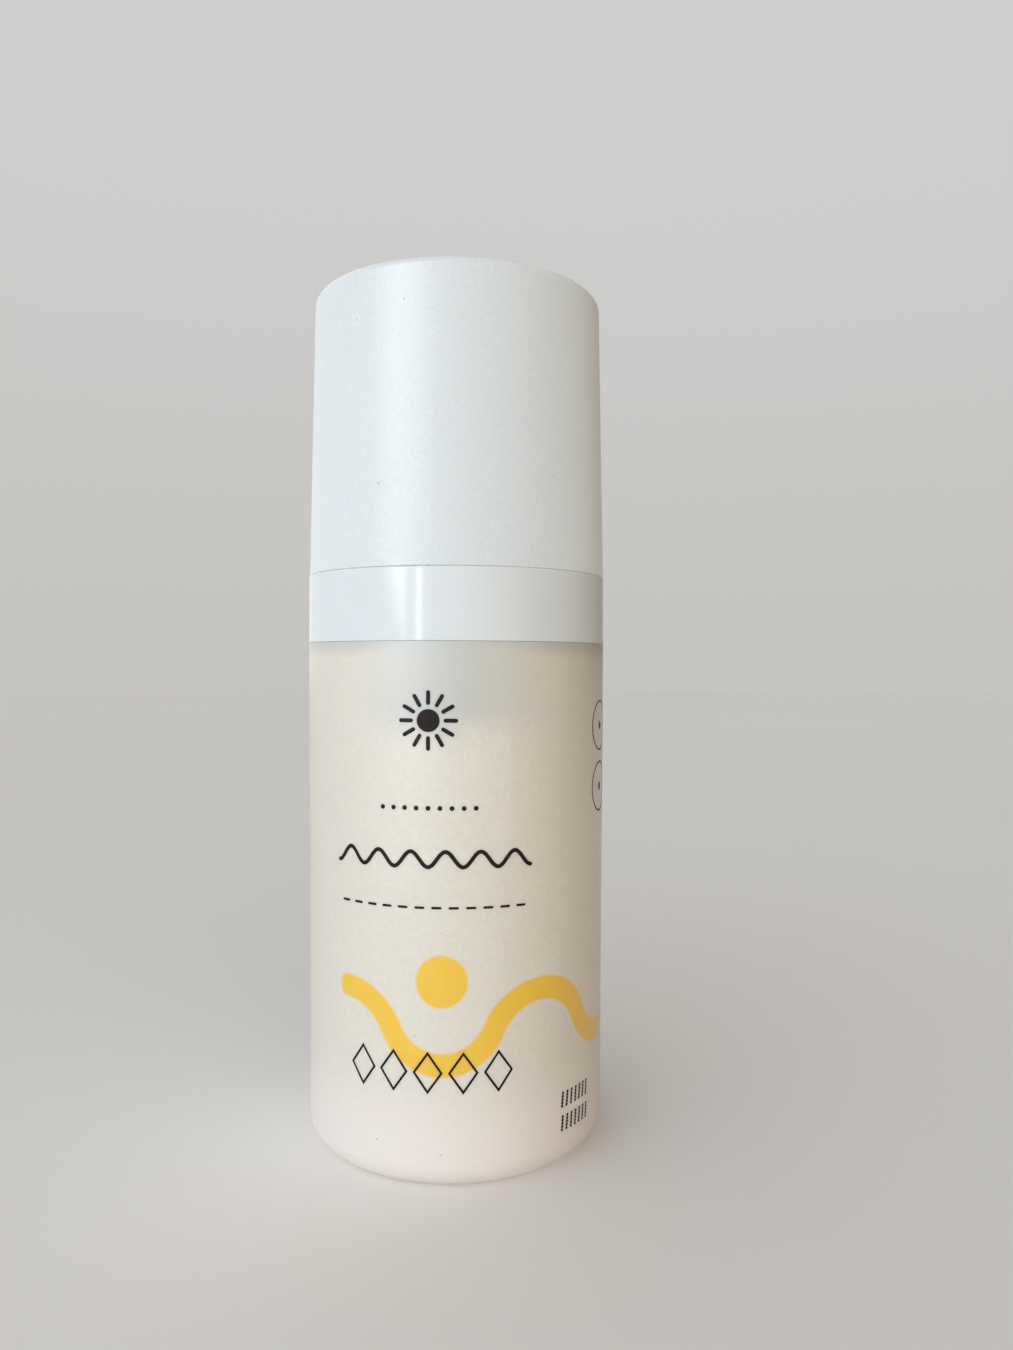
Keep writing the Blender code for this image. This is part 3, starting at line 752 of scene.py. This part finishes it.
badge_arc = 0.0350
badge_heights = (0.0690, 0.0590)
badge_radius = 0.0040
badge_line = 0.00030
badge_dot = 0.0007
badge_points = 72
badges = []
for badge_height in badge_heights:
    ring = ring_points(badge_arc, badge_height, badge_radius, badge_points)
    badges.append((ring, badge_line, True))
    badges.append(disc(badge_arc, badge_height, badge_dot))
print_mark("print_rings", badges)

tick_arc = 0.0226
tick_rows = (0.0113, 0.0076)
tick_count = 7
tick_pitch = 0.0011
tick_dots = 5
tick_dot = 0.00025
tick_rise = 0.00050
tick_lean = 0.10
ticks = []
for row in tick_rows:
    for tick in range(tick_count):
        for dot in range(tick_dots):
            up = row + (dot - (tick_dots - 1) / 2) * tick_rise
            ticks.append(disc(tick_arc + tick * tick_pitch + (up - row) * tick_lean, up, tick_dot))
print_mark("print_jet_ticks", ticks)

# Follower piston
# Soft polyethylene cup with two wiping lips, pushed up the bore from below before the
# bottle is filled. It rises as the cream goes. Waxy, milky and slightly greasy.
soft_colours = ("E2E0DA", "EDEBE6")

soft_plastic, shader, place = new_finish(
    "soft_polyethylene", {"IOR": 1.51, "Subsurface Weight": 0.4, "Subsurface Scale": 0.0010}
)
waxy = blotches(place, size_mm=5.0, detail=3.0)
tint(shader, waxy, *soft_colours)
roughen(shader, waxy, smooth=0.38, rough=0.55)
dent(shader, blotches(place, size_mm=0.4), strength=0.3, depth=0.00001)


def dress(node, material):
    """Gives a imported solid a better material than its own."""
    slots = nodes[node].material_slots
    for slot in slots:
        slot.material = material
    nodes[node].data.shade_smooth()
    nodes[node].data.set_sharp_from_angle(angle=sharp_angle)


for node in ("follower_piston", "pump_piston"):
    dress(node, soft_plastic)

# Seals
# Foamed elastomer rings cut from sheet, matt and grainy, laid on the neck and under the
# pump's flange and squeezed when the collar snaps down.
foam_colours = ("C9C9C7", "A9A9A6")

seal_foam, shader, place = new_finish("foamed_elastomer", {})
bubbles = cells(place, apart_mm=0.25)[0]
tint(shader, bubbles, *foam_colours)
roughen(shader, bubbles, smooth=0.72, rough=0.88)
dent(shader, bubbles, strength=0.6, depth=0.00004)
for node in ("plate_seal", "housing_gasket"):
    dress(node, seal_foam)

# Closure plate and pump
# Natural polypropylene, unpainted and slightly see-through, moulded smooth: the plate
# that plugs the bore, the pump's housing with its ball and drilled disc, and the stem.
natural_colours = ("DEDFDA", "ECEDE9")

natural_plastic, shader, place = new_finish(
    "natural_polypropylene", {"Subsurface Weight": 0.5, "Subsurface Scale": 0.0012}
)
cloud = blotches(place, size_mm=4.0, detail=3.0)
tint(shader, cloud, *natural_colours)
roughen(shader, cloud, smooth=0.26, rough=0.40)
dent(shader, blotches(place, size_mm=1.5), strength=0.25, depth=0.00003)
for node in ("closure_plate", "pump_housing", "ball_retainer", "stem", "stem_plug"):
    dress(node, natural_plastic)

# Inlet ball
# Ground soda-lime glass, 4 mm across, lying in the cone at the foot of the housing.
# Clear and very smooth, with a faint green cast in its depth.
glass_colours = ("E6F0EC", "F4F8F6")

ball_glass, shader, place = new_finish(
    "ground_soda_lime_glass", {"IOR": 1.52, "Transmission Weight": 0.9}
)
haze = blotches(place, size_mm=0.8, detail=3.0)
tint(shader, haze, *glass_colours)
roughen(shader, haze, smooth=0.02, rough=0.08)
dent(shader, haze, strength=0.1, depth=0.000004)
dress("inlet_ball", ball_glass)

# Pump spring
# Stainless spring wire, 0.7 mm thick, coiled cold in six turns with close end turns. It
# stands round the stem on the housing cap, and the actuator squeezes it.
spring_wire = 0.0007
spring_turns = 6
spring_end_pitch = 0.0012
spring_points = 40
wire_sides = 4
steel_colours = ("B9B6B0", "CFCDC8")
spring_low, spring_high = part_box("pump_spring")

spring_steel, shader, place = new_finish("drawn_stainless_wire", {"IOR": 1.45, "Metallic": 1.0})
drawn = blotches(place, size_mm=0.3, detail=4.0)
tint(shader, drawn, *steel_colours)
roughen(shader, drawn, smooth=0.18, rough=0.34)
dent(shader, drawn, strength=0.3, depth=0.000005)

coil_radius = spring_high.x - spring_wire / 2
coil_rise = spring_high.z - spring_low.z - spring_wire
open_pitch = (coil_rise - 2 * spring_end_pitch) / (spring_turns - 2)
coil = bpy.data.curves.new("pump_spring_fine", "CURVE")
coil.dimensions = "3D"
coil.bevel_depth = spring_wire / 2
coil.bevel_resolution = wire_sides
coil.use_fill_caps = True
strand = coil.splines.new("POLY")
strand.points.add(spring_turns * spring_points)
wire_height = spring_low.z + spring_wire / 2
for step, point in enumerate(strand.points):
    turn = step / spring_points
    point.co = (
        coil_radius * math.cos(math.tau * turn),
        coil_radius * math.sin(math.tau * turn),
        wire_height,
        1,
    )
    pitch = spring_end_pitch if turn < 1 or turn >= spring_turns - 1 else open_pitch
    wire_height += pitch / spring_points
coil_object = bpy.data.objects.new("pump_spring_curve", coil)
bpy.context.collection.objects.link(coil_object)
bpy.context.view_layer.update()
coil_mesh = bpy.data.meshes.new_from_object(
    coil_object.evaluated_get(bpy.context.evaluated_depsgraph_get())
)
bpy.data.objects.remove(coil_object)
coil_shape = bmesh.new()
coil_shape.from_mesh(coil_mesh)
bmesh.ops.remove_doubles(coil_shape, verts=coil_shape.verts, dist=weld_distance)
spring = finish_piece("pump_spring_fine", coil_shape, spring_steel)
spring.modifiers.clear()
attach(spring, "bottle")
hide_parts("pump_spring")
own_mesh(spring)

# Collar
# The glossy ring, white polypropylene from a polished mould. It snaps over the body's
# neck, and its spigot grips the overcap.
cap_seam = 0.00001
collar_wall = 0.0012
collar_edge = 0.00028
collar_inner_edge = 0.0004
collar_foot = 0.00012
collar_snap = 0.0002
collar_snap_height = 0.0020
spigot_inset = 0.0021
spigot_edge = 0.0006
spigot_snap_height = 0.0042
spigot_snap_width = 0.0012
skirt_clearance = 0.0001
ledge_clearance = 0.0003
well_clearance = 0.0004
well_depth = 0.0080
collar_colours = ("DADFE1", "E0E5E7")
collar_low, collar_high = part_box("collar")
plate_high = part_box("closure_plate")[1]
cap_low, cap_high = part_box("overcap")
shell_low, shell_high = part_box("actuator_shell")
collar_ledge = cap_low.z - cap_seam
spigot_radius = cap_high.x - spigot_inset
skirt_radius = plate_high.x + snap_bead + skirt_clearance
well_radius = shell_high.x + well_clearance
ledge_under = plate_high.z + ledge_clearance

gloss_plastic, shader, place = new_finish(
    "polished_white_polypropylene",
    {
        "Diffuse Roughness": 0.5,
        "Subsurface Weight": 0.25,
        "Subsurface Radius": (1.0, 0.85, 0.7),
        "Subsurface Scale": 0.0006,
    },
)
tint(shader, blotches(place, size_mm=9.0, detail=3.0), *collar_colours)
roughen(shader, blotches(place, size_mm=2.5, detail=5.0), smooth=0.08, rough=0.24)
dent(shader, blotches(place, size_mm=0.6), strength=0.5, depth=0.00001)
dent(shader, blotches(place, size_mm=4.0, detail=1.0), strength=0.5, depth=0.00006)

collar = finish_piece(
    "collar_fine",
    turn_shape(
        [
            (collar_high.x, collar_ledge, collar_edge),
            (collar_high.x, collar_low.z - collar_foot, collar_foot),
            (skirt_radius, collar_low.z - collar_foot, collar_foot),
            *bead(skirt_radius, collar_low.z + collar_snap_height, -collar_snap, snap_bead_width),
            (skirt_radius, ledge_under),
            (spigot_radius - collar_wall, ledge_under),
            (spigot_radius - collar_wall, collar_high.z - collar_wall, collar_inner_edge),
            (well_radius + collar_wall, collar_high.z - collar_wall, collar_inner_edge),
            (well_radius + collar_wall, collar_high.z - well_depth, edge_break),
            (well_radius, collar_high.z - well_depth, edge_break),
            (well_radius, collar_high.z, edge_break),
            (spigot_radius, collar_high.z, spigot_edge),
            *reversed(
                bead(spigot_radius, collar_ledge + spigot_snap_height, snap_bead, spigot_snap_width)
            ),
            (spigot_radius, collar_ledge),
        ]
    ),
    gloss_plastic,
)
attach(collar, "bottle")
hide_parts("collar")

# Actuator
# Two satin white mouldings: a core with the stem's socket, the channel and the spout,
# and a button pressed over it, open at the front where the spout comes out.
satin_colours = ("DCDFE0", "E4E7E8")

satin_plastic, shader, place = new_finish(
    "satin_white_polypropylene", {"Subsurface Weight": 0.2, "Subsurface Scale": 0.0008}
)
tint(shader, blotches(place, size_mm=7.0, detail=3.0), *satin_colours)
roughen(shader, blotches(place, size_mm=3.0, detail=4.0), smooth=0.24, rough=0.38)
dent(shader, blotches(place, size_mm=0.3), strength=0.25, depth=0.00001)
dress("housing_cap", satin_plastic)

core_low, core_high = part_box("actuator_core")
nozzle_low, nozzle_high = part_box("nozzle_insert")
spout_height = (nozzle_low.z + nozzle_high.z) / 2
spout_tip = -core_low.y
spout_root_radius = 0.0042
spout_tip_radius = 0.0033
spout_tip_edge = 0.0003
nozzle_rim_width = 0.0004
nozzle_pocket_depth = 0.0031
channel_radius = 0.0013
socket_radius = 0.0026
socket_wall = 0.0026
socket_depth = 0.0083
socket_height = 0.0110
socket_flare = 0.0010
column_radius = 0.0042
core_edge = 0.0006
disc_thickness = 0.0012
core_steps = 96
cut_overrun = 0.0020


def forward_piece(name, outline):
    """A piece turned round the spout's axis, its outline's heights toward the front."""
    shape = turn_shape(outline, core_steps)
    lay = Matrix.Translation((0, 0, spout_height)) @ Matrix.Rotation(math.pi / 2, 4, "X")
    bmesh.ops.transform(shape, matrix=lay, verts=shape.verts)
    return finish_piece(name, shape, satin_plastic)


def join_or_cut(piece, tool, operation):
    """Joins or cuts one piece with another, and keeps only the result."""
    step = piece.modifiers.new("step", "BOOLEAN")
    step.operation = operation
    step.object = tool
    piece.modifiers.move(len(piece.modifiers) - 1, 0)
    kept = [modifier for modifier in piece.modifiers if modifier.type == "WEIGHTED_NORMAL"]
    for modifier in kept:
        modifier.show_viewport = False
    bpy.context.view_layer.update()
    mesh = bpy.data.meshes.new_from_object(
        piece.evaluated_get(bpy.context.evaluated_depsgraph_get())
    )
    piece.modifiers.remove(step)
    for modifier in kept:
        modifier.show_viewport = True
    piece.data = mesh
    mesh.shade_smooth()
    mesh.set_sharp_from_angle(angle=sharp_angle)
    bpy.data.objects.remove(tool)


core = finish_piece(
    "actuator_core_fine",
    turn_shape(
        [
            (0, core_high.z),
            (core_high.x, core_high.z, edge_break),
            (core_high.x, core_high.z - disc_thickness, edge_break),
            (column_radius, core_high.z - disc_thickness, core_edge),
            (column_radius, core_low.z + socket_height + socket_flare, core_edge),
            (socket_radius + socket_wall, core_low.z + socket_height, core_edge),
            (socket_radius + socket_wall, core_low.z, edge_break),
            (socket_radius, core_low.z, edge_break),
            (socket_radius, core_low.z + socket_depth),
            (channel_radius, core_low.z + socket_depth),
            (channel_radius, spout_height + channel_radius),
            (0, spout_height + channel_radius),
        ],
        core_steps,
    ),
    satin_plastic,
)
spout = forward_piece(
    "spout_arm",
    [
        (0, spout_tip),
        (spout_tip_radius, spout_tip, spout_tip_edge),
        (spout_root_radius, channel_radius * 2),
        (0, channel_radius * 2),
    ],
)
join_or_cut(core, spout, "UNION")
pocket_radius = nozzle_high.x - nozzle_rim_width
channel = forward_piece(
    "channel_cut",
    [
        (0, spout_tip + cut_overrun),
        (pocket_radius, spout_tip + cut_overrun),
        (pocket_radius, spout_tip - nozzle_pocket_depth),
        (channel_radius, spout_tip - nozzle_pocket_depth),
        (channel_radius, 0),
        (0, 0),
    ],
)
join_or_cut(core, channel, "DIFFERENCE")
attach(core, "actuator")
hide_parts("actuator_core")

shell_wall = 0.0013
shell_draft = 0.0006
shell_top_edge = 0.0028
shell_rim_edge = 0.0004
shell_top_thickness = 0.0030
dimple_depth = 0.0011
dimple_rim = 0.0044
dimple_steps = 14
window_clearance = 0.0003
shell_top_radius = shell_high.x - shell_draft
dimple_radius = shell_top_radius - dimple_rim
shell_ceiling = shell_high.z - shell_top_thickness
dimple = []
for step in range(dimple_steps + 1):
    share = step / dimple_steps
    dimple.append((dimple_radius * share, shell_high.z - dimple_depth * (1 - share**2) ** 2))
button = finish_piece(
    "actuator_shell_fine",
    turn_shape(
        [
            *dimple,
            (shell_top_radius, shell_high.z, shell_top_edge),
            (shell_high.x, shell_low.z, shell_rim_edge),
            (shell_high.x - shell_wall, shell_low.z, shell_rim_edge),
            (shell_top_radius - shell_wall, shell_ceiling, shell_wall),
            (0, shell_ceiling),
        ]
    ),
    satin_plastic,
)
window_radius = spout_root_radius + window_clearance
window_back = shell_top_radius - shell_wall - cut_overrun
window_cut = forward_piece(
    "window_cut",
    [
        (0, shell_high.x + cut_overrun),
        (window_radius, shell_high.x + cut_overrun),
        (window_radius, window_back),
        (0, window_back),
    ],
)
join_or_cut(button, window_cut, "DIFFERENCE")
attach(button, "actuator")
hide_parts("actuator_shell")

# Nozzle insert
# A small stopper with the outlet drilled through it, moulded in the same satin white
# plastic and pressed into the spout's mouth.
insert_flange = 0.0007
insert_flange_width = 0.0005
insert_edge = 0.00025
insert_orifice = 0.0009
insert_countersink = 0.0005
insert_radius = nozzle_high.x - insert_flange_width
insert_front = -nozzle_low.y
insert = forward_piece(
    "nozzle_insert_fine",
    [
        (nozzle_high.x, insert_front, insert_edge),
        (nozzle_high.x, insert_front - insert_flange, edge_break),
        (insert_radius, insert_front - insert_flange),
        (insert_radius, -nozzle_high.y, edge_break),
        (insert_orifice, -nozzle_high.y),
        (insert_orifice, insert_front - insert_countersink),
        (insert_orifice + insert_countersink, insert_front, edge_break),
    ],
)
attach(insert, "actuator")
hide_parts("nozzle_insert")

# Overcap
# The tall cover, moulded in white polypropylene against a spark-eroded mould: finely
# grained and matt. It is pushed down over the spigot and held by a bead.
cap_draft = 0.0009
cap_wall = 0.0015
cap_top_thickness = 0.0016
cap_top_edge = 0.0014
cap_inner_edge = 0.0008
cap_rim_edge = 0.00020
cap_snap_height = 0.0020
cap_colour = "D7DCDE"
cap_pale_colour = "DDE2E4"
cap_pit_colour = "DFE4E6"
cap_sheen_colour = "FFE9C8"
rim_wear = (cap_low.z + 0.0016, cap_low.z + 0.0003)
top_wear = (cap_high.z - 0.0018, cap_high.z - 0.0006)
wear_polish = 0.07

matte_plastic, shader, place = new_finish(
    "spark_grained_white_polypropylene",
    {
        "Diffuse Roughness": 1.0,
        "Sheen Weight": 0.10,
        "Sheen Roughness": 0.5,
        "Sheen Tint": linear(cap_sheen_colour),
        "Subsurface Weight": 0.12,
        "Subsurface Radius": (1.0, 0.85, 0.7),
        "Subsurface Scale": 0.0010,
    },
)
tree = matte_plastic.node_tree
chalky = blotches(place, size_mm=11.0, detail=3.0)
colour = between(tree, chalky, linear(cap_colour), linear(cap_pale_colour))
pits = blotches(place, size_mm=0.38)
colour = between(tree, stepped(tree, pits, *noise_steps), colour, linear(cap_pit_colour))
colour = specked(place, colour, apart_mm=2.0, size_mm=0.22, clean_share=0.95)
tree.links.new(colour, shader.inputs["Base Color"])
touched = blotches(place, size_mm=5.0, detail=4.0)
grained = roughen(shader, touched, smooth=0.33, rough=0.43)
height = add(tree, "SeparateXYZ", {0: place}).outputs["Z"]
rim_worn = stepped(tree, height, *rim_wear)
top_worn = stepped(tree, height, *top_wear)
worn = maths(tree, "MAXIMUM", rim_worn, top_worn)
polished = maths(tree, "MULTIPLY_ADD", worn, -wear_polish, grained)
tree.links.new(polished, shader.inputs["Roughness"])
dent(shader, pits, strength=0.8, depth=0.00006)

cap_top_radius = cap_high.x - cap_draft
cap_ceiling = cap_high.z - cap_top_thickness
overcap = finish_piece(
    "overcap_fine",
    turn_shape(
        [
            (0, cap_high.z),
            (cap_top_radius, cap_high.z, cap_top_edge),
            (cap_high.x, cap_low.z, cap_rim_edge),
            (cap_high.x - cap_wall, cap_low.z, cap_rim_edge),
            *bead(cap_high.x - cap_wall, cap_low.z + cap_snap_height, -snap_bead, spigot_snap_width),
            (cap_top_radius - cap_wall, cap_ceiling, cap_inner_edge),
            (0, cap_ceiling),
        ]
    ),
    matte_plastic,
)
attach(overcap, "cap")
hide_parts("overcap")
